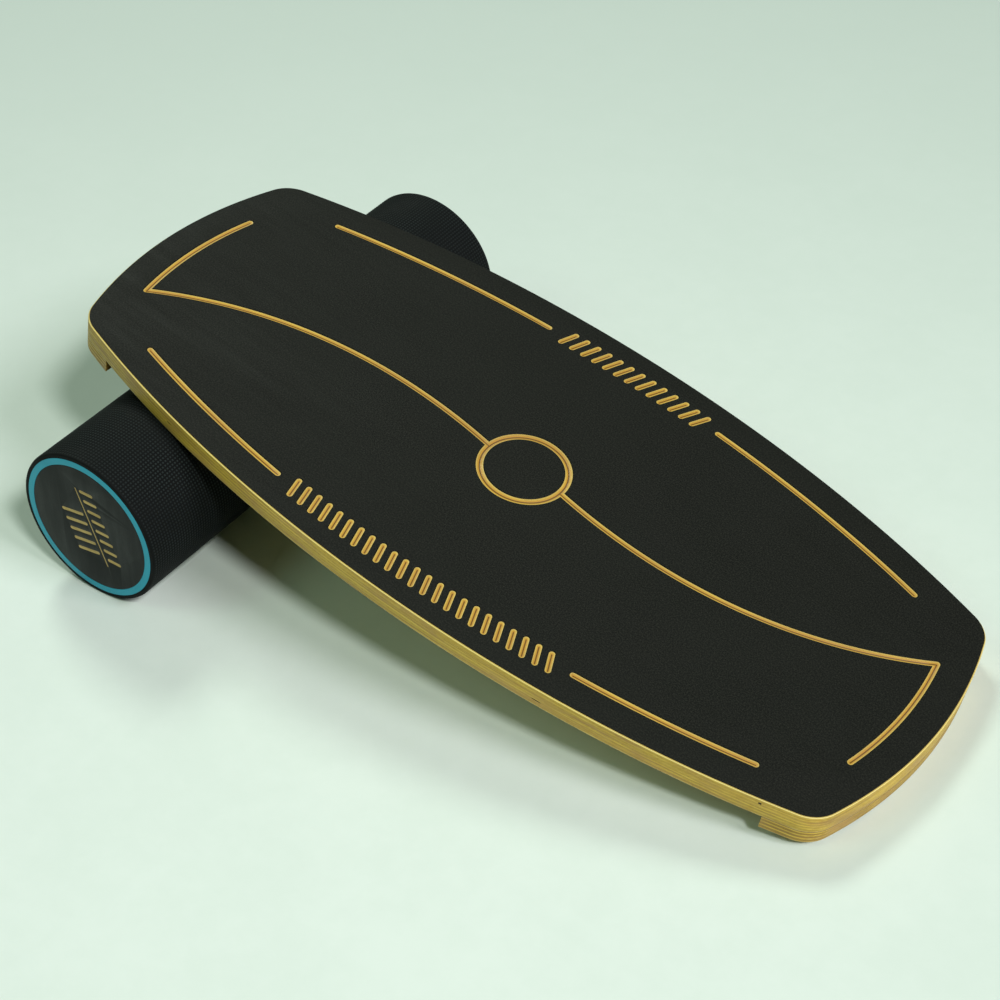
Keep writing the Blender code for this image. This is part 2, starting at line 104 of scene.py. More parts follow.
RECESS_MOUTH_SHARE = 1.1
RECESS_FLOOR_SHARE = 0.7

# ---- routed pattern ---------------------------------------------------------
GROOVE_HALF_WIDTH = 0.00235
GROOVE_DEPTH = 0.0012
RING_RADIUS = 0.0347
RING_HALF_WIDTH = 0.00285
RING_SEGMENTS = 144
BORDER_INSET = 0.0275
END_LINE_START = 0.066
END_LINE_CORNER = -0.0686
END_LINE_STEPS = 16
SWEEP_OUTER_HANDLE = Vector((-0.2415, 0.0084))
SWEEP_INNER_HANDLE = Vector((-0.1308, 0.0172))
SWEEP_JOIN = Vector((-0.0352, 0.0006))
SWEEP_STEPS = 40
LINE_STEPS = 14
# Start and end along the deck, and the side it is on.
SIDE_LINES = (
    (0.0871, 0.2964, 1),
    (-0.0859, -0.2916, 1),
    (0.1525, 0.2964, -1),
    (-0.1313, -0.2936, -1),
)
TICK_LENGTH = 0.0205
TICK_LEAN = math.radians(20.0)
# Side of the deck, first and last place along it and number of ticks.
TICK_RUNS = ((1, -0.0664, 0.0684, 13), (-1, -0.1125, 0.1330, 23))
CAP_STEPS = 10
SHARP_TURN = math.radians(25.0)

# Small open flaws in the near edge: along, below the top, half length, half height.
EDGE_FLAWS = (
    (0.3090, 0.0046, 0.0011, 0.0008),
    (0.1400, 0.0118, 0.0042, 0.00035),
    (-0.2270, 0.0093, 0.0030, 0.00025),
)
FLAW_DEPTH = 0.0007

# ---- roller -----------------------------------------------------------------
TUBE_RADIUS = 0.0626
TUBE_ROUND = 0.0004
DISC_RADIUS = 0.05685
DISC_THICKNESS = 0.012
DISC_ROUND = 0.0005
ROLLER_FIT = 0.0001
SLEEVE_ROUND = 0.0012
STUD_HEIGHT = 0.00055
STUDS_ROUND = 152
STUD_ROWS = 158
ROLLER_SEGMENTS = 192
MOTIF_LEAN = math.radians(-72.0)
MOTIF_ALONG = Vector((math.cos(MOTIF_LEAN), math.sin(MOTIF_LEAN)))
MOTIF_CENTRE = Vector((0.0033, 0.0017))
MOTIF_LINE_HALF = 0.036
MOTIF_LINE_HALF_WIDTH = 0.0007
MOTIF_BAR_HALF_WIDTH = 0.0016
MOTIF_STEEPNESS = 0.55
MOTIF_BAR_START = 0.0048
# First and last place along the line, number of bars and reach across it.
MOTIF_SHORT_BARS = (-0.0315, 0.0315, 8, 0.0150)
MOTIF_LONG_BARS = (-0.0135, 0.0225, 5, -0.0245)
MOTIF_SLANT = 0.0035


# ---- where the deck and the roller are --------------------------------------
def deck_axes():
    """Deck axes in the row frame, from the two places where the feet rest."""
    feet = {mount["name"]: mount for mount in frame["record"]["mounts"]}
    high = Vector(feet["foot_high"]["pos_m"])
    low = Vector(feet["foot_low"]["pos_m"])
    up = Vector(feet["foot_low"]["axis"]).normalized()
    stride = low - high
    along = (FOOT_STRIDE.x * stride - FOOT_STRIDE.y * up.cross(stride)).normalized()
    across = up.cross(along)
    axes = Matrix((along, across, up)).transposed().to_4x4()
    return Matrix.Translation((high + low) / 2.0) @ axes


def roller_axes():
    """Roller axes in the row frame: z along the axle, towards the front end."""
    joint = next(j for j in frame["joints"] if j["name"] == "roller_spin")
    return Matrix.Translation(joint["pos_m"]) @ Matrix.Rotation(math.pi / 2.0, 4, "X")


DECK = deck_axes()
DECK_TURN = DECK.to_3x3().to_4x4()
ROLLER = roller_axes()
SLEEVE_LOW, SLEEVE_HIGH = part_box("grip_sleeve")
ROLLER_HALF = (SLEEVE_HIGH.y - SLEEVE_LOW.y) / 2.0
SLEEVE_RADIUS = (SLEEVE_HIGH.z - SLEEVE_LOW.z) / 2.0


# ---- mesh helpers -----------------------------------------------------------
def skin(builder, rings, closed=False):
    """Skin a stack of equal-length rings; cap the ends unless the stack closes."""
    made = [[builder.verts.new(point) for point in ring] for ring in rings]
    count = len(made[0])
    pairs = list(zip(made, made[1:]))
    if closed:
        pairs.append((made[-1], made[0]))
    for low, high in pairs:
        for i in range(count):
            j = (i + 1) % count
            builder.faces.new((low[i], low[j], high[j], high[i]))
    if not closed:
        builder.faces.new(list(reversed(made[0])))
        builder.faces.new(made[-1])
    return builder


def solid(name, builder):
    """Object from a bmesh, not yet placed."""
    bmesh.ops.recalc_face_normals(builder, faces=builder.faces)
    mesh = bpy.data.meshes.new(name)
    builder.to_mesh(mesh)
    builder.free()
    made = bpy.data.objects.new(name, mesh)
    bpy.context.scene.collection.objects.link(made)
    return made


def cut(target, builder, pose=None):
    """Subtract a closed bmesh from an object."""
    cutter = solid("cutter", builder)
    if pose:
        cutter.data.transform(pose)
    step = target.modifiers.new("cut", "BOOLEAN")
    step.operation = "DIFFERENCE"
    step.solver = "EXACT"
    step.object = cutter
    graph = bpy.context.evaluated_depsgraph_get()
    carved = bpy.data.meshes.new_from_object(target.evaluated_get(graph))
    carved.name = target.name
    target.modifiers.clear()
    target.data = carved
    bpy.data.objects.remove(cutter)


def fit(piece, pose, body, node, finish):
    """Place a finished piece, give it its material and tie it to the frame."""
    piece.data.transform(pose)
    piece.data.shade_smooth()
    piece.data.set_sharp_from_angle(angle=SHARP_EDGE)
    piece.data.materials.clear()
    piece.data.materials.append(finish)
    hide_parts(node)
    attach(piece, body)


def circle(radius, height, segments, centre=(0.0, 0.0)):
    """Points of a level circle."""
    points = []
    for i in range(segments):
        turn = 2.0 * math.pi * i / segments
        x = centre[0] + radius * math.cos(turn)
        y = centre[1] + radius * math.sin(turn)
        points.append((x, y, height))
    return points


def lathe(profile, segments, closed=False, centre=(0.0, 0.0), builder=None):
    """Turn (radius, height) pairs about a line parallel to z."""
    builder = builder or bmesh.new()
    rings = [circle(radius, height, segments, centre) for radius, height in profile]
    return skin(builder, rings, closed)


def rounding(radius, steps=ROUND_STEPS):
    """(inwards, downwards) pairs round a quarter circle, from the side to the top."""
    pairs = []
    for i in range(steps + 1):
        turn = math.pi / 2.0 * i / steps
        pairs.append((radius * (1.0 - math.cos(turn)), radius * (1.0 - math.sin(turn))))
    return pairs


def rounded_rod(radius, half, edge):
    """Profile of a cylinder with rounded rims, from the low end to the high end."""
    upper = [(radius - inset, half - drop) for inset, drop in rounding(edge)]
    lower = [(reach, -height) for reach, height in reversed(upper)]
    return lower + upper


# ---- deck outline -----------------------------------------------------------
def side_offset(u):
    """Half width of the deck at u from its middle."""
    return DECK_HALF_WIDTH - SIDE_BOW * u**2 - SIDE_BOW_QUARTIC * u**4


def side_point(u, inset=0.0):
    """Point on the +y side curve, moved inwards, and its outward normal."""
    slope = -2.0 * SIDE_BOW * u - 4.0 * SIDE_BOW_QUARTIC * u**3
    normal = Vector((-slope, 1.0)).normalized()
    return Vector((u, side_offset(u))) - inset * normal, normal


def end_offset(v):
    """Half length of the deck at v from its centreline."""
    return DECK_HALF_LENGTH - END_BOW * v**2


def end_point(v, inset=0.0):
    """Point on the +x end curve, moved inwards, and its outward normal."""
    normal = Vector((1.0, 2.0 * END_BOW * v)).normalized()
    return Vector((end_offset(v), v)) - inset * normal, normal


def corner_contact():
    """Where the corner arc meets the side (u) and the end (v), by Newton's method."""
    u = DECK_HALF_LENGTH - CORNER_RADIUS
    v = side_offset(DECK_HALF_LENGTH) - CORNER_RADIUS / 2.0
    step = 1e-6
    for _ in range(20):
        miss = side_point(u, CORNER_RADIUS)[0] - end_point(v, CORNER_RADIUS)[0]
        by_u = side_point(u + step, CORNER_RADIUS)[0] - side_point(u, CORNER_RADIUS)[0]
        by_v = end_point(v + step, CORNER_RADIUS)[0] - end_point(v, CORNER_RADIUS)[0]
        slope = np.array([[by_u.x, -by_v.x], [by_u.y, -by_v.y]]) / step
        change = np.linalg.solve(slope, np.array([miss.x, miss.y]))
        u -= change[0]
        v -= change[1]
    return u, v


def quarter_outline():
    """(point, normal) pairs from the middle of the +x end to the middle of the +y side."""
    u_corner, v_corner = corner_contact()
    centre, side_normal = side_point(u_corner, CORNER_RADIUS)
    end_normal = end_point(v_corner)[1]
    pairs = [end_point(v_corner * i / END_STEPS) for i in range(END_STEPS)]
    start = math.atan2(end_normal.y, end_normal.x)
    finish = math.atan2(side_normal.y, side_normal.x)
    for i in range(CORNER_STEPS + 1):
        turn = start + (finish - start) * i / CORNER_STEPS
        normal = Vector((math.cos(turn), math.sin(turn)))
        pairs.append((centre + CORNER_RADIUS * normal, normal))
    pairs += [side_point(u_corner * (1.0 - i / SIDE_STEPS)) for i in range(1, SIDE_STEPS + 1)]
    return pairs


def mirrored(pairs, flip):
    """Mirror (point, normal) pairs and reverse their order."""
    return [(point * flip, normal * flip) for point, normal in reversed(pairs)]


def deck_outline():
    """The whole outline, anticlockwise from the middle of the +x end."""
    quarter = quarter_outline()
    half = quarter + mirrored(quarter, Vector((-1.0, 1.0)))[1:]
    return half + mirrored(half, Vector((1.0, -1.0)))[1:-1]


def outline_ring(pairs, inset, height):
    """The outline moved inwards at one height."""
    ring = []
    for point, normal in pairs:
        moved = point - (inset + OUTLINE_EASE) * normal
        ring.append((moved.x, moved.y, height))
    return ring


def slab(pairs, low, high, low_round, high_round, inset=0.0):
    """Plate with this outline and rounded lower and upper rims."""
    rings = []
    for inwards, drop in reversed(rounding(low_round)):
        rings.append(outline_ring(pairs, inset + inwards, low + drop))
    for inwards, drop in rounding(high_round):
        rings.append(outline_ring(pairs, inset + inwards, high - drop))
    return skin(bmesh.new(), rings)


def stop_outline(end):
    """(point, normal) pairs of one end stop; end is +1 or -1 along x."""
    inner = STOP_INNER_FACE
    pairs = [pair for pair in deck_outline() if pair[0].x > inner]
    lower = [pair for pair in pairs if pair[0].y < 0.0]
    upper = [pair for pair in pairs if pair[0].y >= 0.0]
    side, normal = side_point(inner)
    corner_normal = Vector((-1.0, 1.0 + abs(normal.x)))
    near = (side * Vector((1.0, -1.0)), corner_normal * Vector((1.0, -1.0)))
    loop = [near] + lower + upper + [(side, corner_normal)]
    if end < 0:
        loop = [(point * -1.0, normal * -1.0) for point, normal in loop]
    return loop


# ---- routed grooves ---------------------------------------------------------
def left_of(direction):
    """Unit vector to the left of a direction."""
    return Vector((-direction.y, direction.x))


def arc_points(centre, start, turn, radius, ridge):
    """Round cap or join about a ridge point."""
    steps = max(1, round(CAP_STEPS * abs(turn) / math.pi))
    points = []
    for i in range(steps + 1):
        spin = Matrix.Rotation(turn * i / steps, 2)
        points.append((centre + radius * (spin @ start), ridge))
    return points


def one_side(path, directions, half_width, order):
    """Offset points on the left of a path walked in the given order."""
    points = []
    for i in order[1:-1]:
        before, after = directions[i - 1], directions[i]
        if order[0] > order[-1]:
            before, after = -directions[i], -directions[i - 1]
        turn = before.angle_signed(after)
        left = left_of(before)
        if turn > SHARP_TURN:
            points += arc_points(path[i], left, -turn, half_width, i)
        else:
            middle = (left + left_of(after)).normalized()
            reach = half_width / math.cos(turn / 2.0)
            points.append((path[i] + reach * middle, i))
    return points


def groove_loop(path, half_width):
    """Outline round a path with round ends, each point tied to a path index."""
    last = len(path) - 1
    directions = [(b - a).normalized() for a, b in zip(path, path[1:])]
    forward = list(range(last + 1))
    loop = one_side(path, directions, half_width, forward)
    loop += arc_points(path[last], left_of(directions[-1]), -math.pi, half_width, last)
    loop += one_side(path, directions, half_width, forward[::-1])
    loop += arc_points(path[0], left_of(-directions[0]), -math.pi, half_width, 0)
    return loop


def v_cutters(paths, half_width, depth, surface):
    """One closed V-bottomed cutter for each path."""
    builder = bmesh.new()
    top_half_width = half_width * (depth + CUT_CLEARANCE) / depth
    for path in paths:
        loop = groove_loop(path, top_half_width)
        top = [builder.verts.new((p.x, p.y, surface + CUT_CLEARANCE)) for p, _ in loop]
        ridge = [builder.verts.new((p.x, p.y, surface - depth)) for p in path]
        builder.faces.new(top)
        for i, (_, here) in enumerate(loop):
            j = (i + 1) % len(loop)
            there = loop[j][1]
            if here == there:
                builder.faces.new((top[i], top[j], ridge[here]))
            else:
                builder.faces.new((top[i], top[j], ridge[there]))
                builder.faces.new((top[i], ridge[there], ridge[here]))
    return builder


def film_cut_profile(half_width):
    """(half width, height) pairs of a slot through the film with slanted walls."""
    return (
        (half_width, CORE_TOP - CUT_CLEARANCE),
        (half_width, CORE_TOP),
        (half_width + FILM_CHAMFER, 0.0),
        (half_width + FILM_CHAMFER + CUT_CLEARANCE, CUT_CLEARANCE),
    )


def film_cutters(paths):
    """One closed slot cutter for each path."""
    builder = bmesh.new()
    for path in paths:
        rings = []
        for half_width, height in film_cut_profile(GROOVE_HALF_WIDTH):
            loop = groove_loop(path, half_width)
            rings.append([(p.x, p.y, height) for p, _ in loop])
        skin(builder, rings)
    return builder


def border_path(u_start, u_end, side):
    """Line that follows one side of the deck at a constant inset."""
    path = []
    for i in range(LINE_STEPS + 1):
        point = side_point(u_start + (u_end - u_start) * i / LINE_STEPS, BORDER_INSET)[0]
        path.append(Vector((point.x, side * point.y)))
    return path


def sweep_path(end):
    """End line and the long curve from its corner to the middle ring."""
    path = []
    for i in range(END_LINE_STEPS + 1):
        v = END_LINE_START + (END_LINE_CORNER - END_LINE_START) * i / END_LINE_STEPS
        point = end_point(v, BORDER_INSET)[0]
        path.append(Vector((-point.x, point.y)))
    corner = path[-1]
    for i in range(1, SWEEP_STEPS + 1):
        t = i / SWEEP_STEPS
        s = 1.0 - t
        point = s**3 * corner + 3.0 * s * s * t * SWEEP_OUTER_HANDLE
        point += 3.0 * s * t * t * SWEEP_INNER_HANDLE + t**3 * SWEEP_JOIN
        path.append(point)
    return [end * -point for point in path]


def tick_paths():
    """Leaning ticks that follow each side of the deck."""
    paths = []
    half = TICK_LENGTH / 2.0 - GROOVE_HALF_WIDTH
    for side, start, finish, count in TICK_RUNS:
        for i in range(count):
            u = start + (finish - start) * i / (count - 1)
            centre, normal = side_point(u, BORDER_INSET)
            lean = Matrix.Rotation(-TICK_LEAN, 2) @ normal
            ends = (centre - half * lean, centre + half * lean)
            paths.append([Vector((point.x, side * point.y)) for point in ends])
    return paths


def routed_paths():
    """Every routed line except the ring."""
    paths = tick_paths()
    paths += [border_path(*line) for line in SIDE_LINES]
    paths += [sweep_path(end) for end in (1, -1)]
    return paths


# ---- materials --------------------------------------------------------------
class Surface:
    """A node material while it is being wired."""

    def __init__(self, name, **constants):
        self.material = bpy.data.materials.new(name)
        self.material.use_nodes = True
        self.tree = self.material.node_tree
        self.shader = self.tree.nodes["Principled BSDF"]
        self.where = self.add("ShaderNodeTexCoord")
        for socket, value in constants.items():
            self.feed(self.shader.inputs[socket.replace("_", " ")], value)

    def add(self, kind, inputs=(), **settings):
        """New node with its settings, and its inputs by name or number."""
        node = self.tree.nodes.new(kind)
        for key, value in settings.items():
            setattr(node, key, value)
        for key, value in dict(inputs).items():
            self.feed(node.inputs[key], value)
        return node

    def feed(self, socket, value):
        """Link a socket, or set its constant."""
        if isinstance(value, bpy.types.NodeSocket):
            self.tree.links.new(value, socket)
        elif hasattr(socket.default_value, "__len__") and len(value) < len(socket.default_value):
            socket.default_value = (*value, 1.0)
        else:
            socket.default_value = value

    def maths(self, operation, a, b=0.0):
        """One Math node's value."""
        return self.add("ShaderNodeMath", {0: a, 1: b}, operation=operation).outputs[0]

    def span(self, value, low, high, to_low=0.0, to_high=1.0):
        """Smoothly map low..high to another range."""
        inputs = {0: value, 1: low, 2: high, 3: to_low, 4: to_high}
        node = self.add("ShaderNodeMapRange", inputs, interpolation_type="SMOOTHSTEP")
        return node.outputs[0]

    def band(self, height, face, depths, to_low, to_high):
        """Map a height between two depths below a face to another range."""
        return self.span(height, face - depths[0], face - depths[1], to_low, to_high)

    def mix(self, share, a, b, blend="MIX"):
        """Mix two colours."""
        node = self.add("ShaderNodeMix", {0: share, 6: a, 7: b}, data_type="RGBA", blend_type=blend)
        return node.outputs[2]

    def mix_value(self, share, a, b):
        """Mix two numbers."""
        return self.add("ShaderNodeMix", {0: share, 2: a, 3: b}).outputs[0]

    def split(self, vector):
        """x, y and z of a vector."""
        return self.add("ShaderNodeSeparateXYZ", {0: vector}).outputs[:]

    def stretch(self, vector, scale):
        """Scale a vector by axis."""
        node = self.add("ShaderNodeVectorMath", {0: vector, 1: scale}, operation="MULTIPLY")
        return node.outputs[0]

    def distance(self, vector, centre):
        """How far a point is from a centre."""
        node = self.add("ShaderNodeVectorMath", {0: vector, 1: centre}, operation="DISTANCE")
        return node.outputs["Value"]

    def from_axis(self, x, y):
        """How far a point is from the z axis."""
        square = self.maths("ADD", self.maths("MULTIPLY", x, x), self.maths("MULTIPLY", y, y))
        return self.maths("SQRT", square)

    def noise(self, vector, scale, detail=2.0, roughness=0.5):
        """Noise value, 0 to 1, at a scale in cells per metre."""
        inputs = {"Vector": vector, "Scale": scale, "Detail": detail, "Roughness": roughness}
        return self.add("ShaderNodeTexNoise", inputs).outputs[0]

    def cells(self, vector, scale):
        """Distance from the middle of each rounded cell, at a scale in cells per metre."""
        node = self.add("ShaderNodeTexVoronoi", {"Vector": vector, "Scale": scale})
        node.feature = "SMOOTH_F1"
        return node.outputs["Distance"]

    def in_axes(self, pose, vector):
        """A vector of the row frame seen in another set of axes."""
        inputs = {"Vector": vector, "Location": pose.to_translation(), "Rotation": pose.to_euler()}
        return self.add("ShaderNodeMapping", inputs, vector_type="TEXTURE").outputs[0]

    def finish(self, colour, roughness, height=None, distance=0.0, strength=1.0):
        """Wire colour, roughness and bump into the shader."""
        self.feed(self.shader.inputs["Base Color"], colour)
        self.feed(self.shader.inputs["Roughness"], roughness)
        if height is not None:
            inputs = {"Height": height, "Distance": distance, "Strength": strength}
            bump = self.add("ShaderNodeBump", inputs)
            self.feed(self.shader.inputs["Normal"], bump.outputs[0])
        return self.material


# Linear red, green and blue.  Two colours in one value are mixed by noise.
LONG_GRAIN = (0.78, 0.545, 0.078)
LONG_GRAIN_DARK = (0.62, 0.390, 0.046)
END_GRAIN = (0.42, 0.260, 0.037)
END_GRAIN_DARK = (0.30, 0.172, 0.022)
STREAK = (0.34, 0.170, 0.048)
BLUSH = (0.46, 0.262, 0.085)
GLUE = (0.110, 0.055, 0.014)
SEAM = (0.340, 0.200, 0.055)
# Painted highlight on the rounded upper rims.
RIM_HIGHLIGHT = (0.98, 0.850, 0.320)
PALE_FACE = (0.60, 0.490, 0.270)
PALE_FACE_DARK = (0.37, 0.260, 0.115)
GROOVE_LIP = (0.62, 0.440, 0.108)
# Painted shade: groove walls turn darker orange deeper down.
GROOVE_WALL_SHADE = (0.53, 0.275, 0.036)
# Painted shade: a dark line along the bottom of each groove.
GROOVE_BOTTOM_SHADE = (0.120, 0.048, 0.006)
# Painted shade inside the open edge flaws.
FLAW_SHADE = (0.020, 0.010, 0.004)
FILM_BLACKS = ((0.0036, 0.0040, 0.0031), (0.0050, 0.0055, 0.0044))
FILM_GRAIN = (0.0195, 0.0200, 0.0150)
FILM_DUST = (0.050, 0.052, 0.047)
RUBBER_BLACKS = ((0.0010, 0.0015, 0.0015), (0.0026, 0.0036, 0.0036))
RUBBER_TIP_COLOUR = (0.022, 0.030, 0.029)
PIPE_TEALS = ((0.008, 0.285, 0.405), (0.013, 0.335, 0.465))
PIPE_SAWN = (0.036, 0.360, 0.490)
DISC_GOLDS = ((0.60, 0.430, 0.160), (0.42, 0.285, 0.095))
DISC_BLACKS = ((0.0032, 0.0041, 0.0038), (0.0085, 0.0102, 0.0094))
DISC_SMEAR = (0.019, 0.022, 0.020)
ZINC_GREYS = ((0.64, 0.62, 0.57), (0.46, 0.44, 0.39))
FLOOR_COLOURS = ((0.740, 0.822, 0.755), (0.770, 0.848, 0.785))
# Painted pool of light on the floor: its dimmer outer colour, centre and radius.
FLOOR_OUTSIDE_LIGHT_POOL = (0.482, 0.560, 0.504)
LIGHT_POOL_CENTRE = (0.25, -0.40, 0.0)
LIGHT_POOL_RADIUS = 2.0

# Where marks on the wood fade, in depths below the upper face of the plank or stop.
RIM_HIGHLIGHT_FADE = (0.0008, 0.0003)
LIP_FADE = (0.0005, 0.0001)
WALL_SHADE_FADE = (0.0006, 0.0003)
BOTTOM_SHADE_FADE = (0.0011, 0.0008)
# Heights above the lower face, distances from the seam and depths below a disc's face.
LOW_FADE = (0.0004, 0.0014)
SEAM_FADE = (0.0002, 0.0009)
DISC_FILM_FADE = (0.00005, 0.00014)
SEAM_HEIGHT = (CORE_BOTTOM + STOP_TOP) / 2.0
# Number of plies, and how strongly crossed plies and glue lines stand out.
PLANK_LAYERS = (11, 0.34)
STOP_LAYERS = (7, 1.0)


def ply_pattern(s, place, height, top, ply, plies):
    """Place within a ply, 0 to 1, and whether that ply lies crosswise, 0 or 1."""
    wander = s.maths("MULTIPLY", s.maths("SUBTRACT", s.noise(place, 11.0), 0.5), 0.5)
    depth = s.maths("DIVIDE", s.maths("SUBTRACT", top, height), ply)
    depth = s.maths("ADD", depth, wander)
    depth = s.maths("MINIMUM", s.maths("MAXIMUM", depth, 0.2), plies - 0.2)
    return s.maths("FRACT", depth), s.maths("MODULO", s.maths("FLOOR", depth), 2.0)


def end_grain_share(s, crossed, facing_u, facing_v):
    """How much end grain shows, from the way a ply lies and the way the edge faces."""
    square_u = s.maths("MULTIPLY", facing_u, facing_u)
    square_v = s.maths("MULTIPLY", facing_v, facing_v)
    level = s.maths("ADD", s.maths("ADD", square_u, square_v), 0.001)
    ends = s.span(s.maths("DIVIDE", square_u, level), 0.5, 1.0, 0.0, 0.35)
    return s.maths("ABSOLUTE", s.maths("SUBTRACT", crossed, ends))


def wood_colour(s, place, fibres, pores, end_grain, contrast):
    """Fibres and pores of the plies, with streaks, warm blushes and a slow figure."""
    streaks = s.noise(s.stretch(place, (7.0, 7.0, 620.0)), 1.0, 3.0, 0.7)
    blush = s.noise(s.stretch(place, (26.0, 26.0, 90.0)), 1.0, 3.0, 0.6)
    figure = s.noise(s.stretch(place, (3.0, 26.0, 60.0)), 1.0, 3.0, 0.6)
    long_colour = s.mix(s.span(fibres, 0.35, 0.70), LONG_GRAIN, LONG_GRAIN_DARK)
    end_colour = s.mix(s.span(pores, 0.40, 0.68), END_GRAIN, END_GRAIN_DARK)
    colour = s.mix(s.maths("MULTIPLY", end_grain, contrast), long_colour, end_colour)
    colour = s.mix(s.span(streaks, 0.44, 0.70, 0.0, 0.8), colour, STREAK)
    colour = s.mix(s.span(blush, 0.44, 0.70, 0.0, 0.65), colour, BLUSH)
    shade = s.span(figure, 0.3, 0.72, 1.06, 0.84)
    tint = s.add("ShaderNodeCombineXYZ", {0: shade, 1: shade, 2: shade}).outputs[0]
    return s.mix(1.0, colour, tint, "MULTIPLY")


def glue_mask(s, place, part, contrast):
    """Patchy dark glue between the plies."""
    middle = s.maths("ABSOLUTE", s.maths("SUBTRACT", part, 0.5))
    patchy = s.span(s.noise(s.stretch(place, (60.0, 60.0, 4.0)), 1.0), 0.3, 0.7, 0.2, 0.9)
    return s.maths("MULTIPLY", s.span(middle, 0.38, 0.48), s.maths("MULTIPLY", patchy, contrast))


def pale_below(s, colour, place, height, upward, bottom, fibres):
    """Pale veneer on the lower face, fading out just above it."""
    low, high = LOW_FADE
    lowest = s.span(height, bottom + low, bottom + high, 0.55, 0.0)
    underneath = s.span(upward, -0.8, -0.3, 0.85, 0.0)
    veneer = s.noise(s.stretch(place, (2.5, 45.0, 45.0)), 1.0, 4.0, 0.65)
    lines = s.span(s.mix_value(0.5, fibres, veneer), 0.38, 0.64)
    pale = s.mix(lines, PALE_FACE, PALE_FACE_DARK)
    return s.mix(s.maths("MAXIMUM", lowest, underneath), colour, pale)


def seam_above_stops(s, colour, along, height):
    """Soft dark line where a stop meets the plank."""
    away = s.maths("ABSOLUTE", s.maths("SUBTRACT", height, SEAM_HEIGHT))
    over_stop = s.maths("GREATER_THAN", s.maths("ABSOLUTE", along), STOP_INNER_FACE)
    seam = s.maths("MULTIPLY", s.span(away, *SEAM_FADE, 0.8, 0.0), over_stop)
    return s.mix(seam, colour, SEAM)


def groove_shade_and_rim_highlight(s, colour, height, upward, top):
    """Groove walls in painted shade, darker orange deeper down, bright lips, a painted highlight on the rounded
    rims and a painted shade line at the bottom of each groove.
    """
    level = s.span(upward, 0.15, 0.55)
    # Painted shade: walls darker orange deeper in each groove.
    wall = s.maths("MULTIPLY", s.band(height, CORE_TOP, WALL_SHADE_FADE, 0.85, 0.0), level)
    colour = s.mix(wall, colour, GROOVE_WALL_SHADE)
    highest = s.band(height, top, LIP_FADE, 0.0, 0.9)
    colour = s.mix(s.maths("MULTIPLY", highest, level), colour, GROOVE_LIP)
    steep = s.span(upward, 0.80, 0.86, 1.0, 0.0)
    rounded = s.maths("MULTIPLY", s.span(upward, 0.10, 0.35), steep)
    # Painted highlight along the rounded upper rims.
    rim = s.band(height, top, RIM_HIGHLIGHT_FADE, 0.0, 0.95)
    colour = s.mix(s.maths("MULTIPLY", rim, rounded), colour, RIM_HIGHLIGHT)
    # Painted shade: a dark line along the bottom of each groove.
    groove_bottom_shade = s.band(height, CORE_TOP, BOTTOM_SHADE_FADE, 0.95, 0.0)
    return s.mix(s.maths("MULTIPLY", groove_bottom_shade, level), colour, GROOVE_BOTTOM_SHADE)


def flaw_centre(along, below):
    """Centre of an open flaw in the near edge."""
    return Vector((along, -side_offset(along), -below))


def flaw_shade_mask(s, place):
    """Mask of the near-black painted shade: 1 in the open flaws of the near edge, 0 elsewhere."""
    mask = 0.0
    for along, below, half_length, half_height in EDGE_FLAWS:
        shares = (1.0 / half_length, 1.0 / FLAW_DEPTH, 1.0 / half_height)
        centre = flaw_centre(along, below)
        away = s.add("ShaderNodeVectorMath", {0: place, 1: centre}, operation="SUBTRACT")
        reach = s.distance(s.stretch(away.outputs[0], shares), (0.0, 0.0, 0.0))
        mask = s.maths("MAXIMUM", mask, s.span(reach, 0.9, 1.5, 1.0, 0.0))
    return mask


def plywood(name, top, bottom, plies, contrast):
    """Oiled birch plywood whose plies lie between two heights in the deck's axes."""
    s = Surface(name, IOR=1.45)
    place = s.in_axes(DECK, s.where.outputs["Object"])
    facing = s.in_axes(DECK_TURN, s.where.outputs["Normal"])
    along, _, height = s.split(place)
    facing_u, facing_v, upward = s.split(facing)

    # Fibres run along a ply; cut across, they show as pores.
    part, crossed = ply_pattern(s, place, height, top, (top - bottom) / plies, plies)
    end_grain = end_grain_share(s, crossed, facing_u, facing_v)
    along_u = s.noise(s.stretch(place, (14.0, 420.0, 900.0)), 1.0, 4.0, 0.6)
    along_v = s.noise(s.stretch(place, (420.0, 14.0, 900.0)), 1.0, 4.0, 0.6)
    fibres = s.mix_value(crossed, along_u, along_v)
    pores = s.noise(place, 2100.0, 3.0, 0.7)
    glue = glue_mask(s, place, part, contrast)

    colour = wood_colour(s, place, fibres, pores, end_grain, contrast)
    colour = s.mix(glue, colour, GLUE)
    colour = pale_below(s, colour, place, height, upward, bottom, along_u)
    colour = seam_above_stops(s, colour, along, height)
    colour = groove_shade_and_rim_highlight(s, colour, height, upward, top)
    # Painted shade: near black inside the open flaws.
    colour = s.mix(flaw_shade_mask(s, place), colour, FLAW_SHADE)

    rough = s.span(fibres, 0.3, 0.7, 0.42, 0.58)
    rough = s.maths("ADD", rough, s.maths("MULTIPLY", end_grain, 0.10))
    pits = s.maths("MULTIPLY", s.maths("MULTIPLY", pores, end_grain), 0.5)
    relief = s.maths("SUBTRACT", s.maths("MULTIPLY", fibres, 0.6), glue)
    relief = s.maths("SUBTRACT", relief, pits)
    return s.finish(colour, rough, relief, distance=0.00012, strength=0.6)


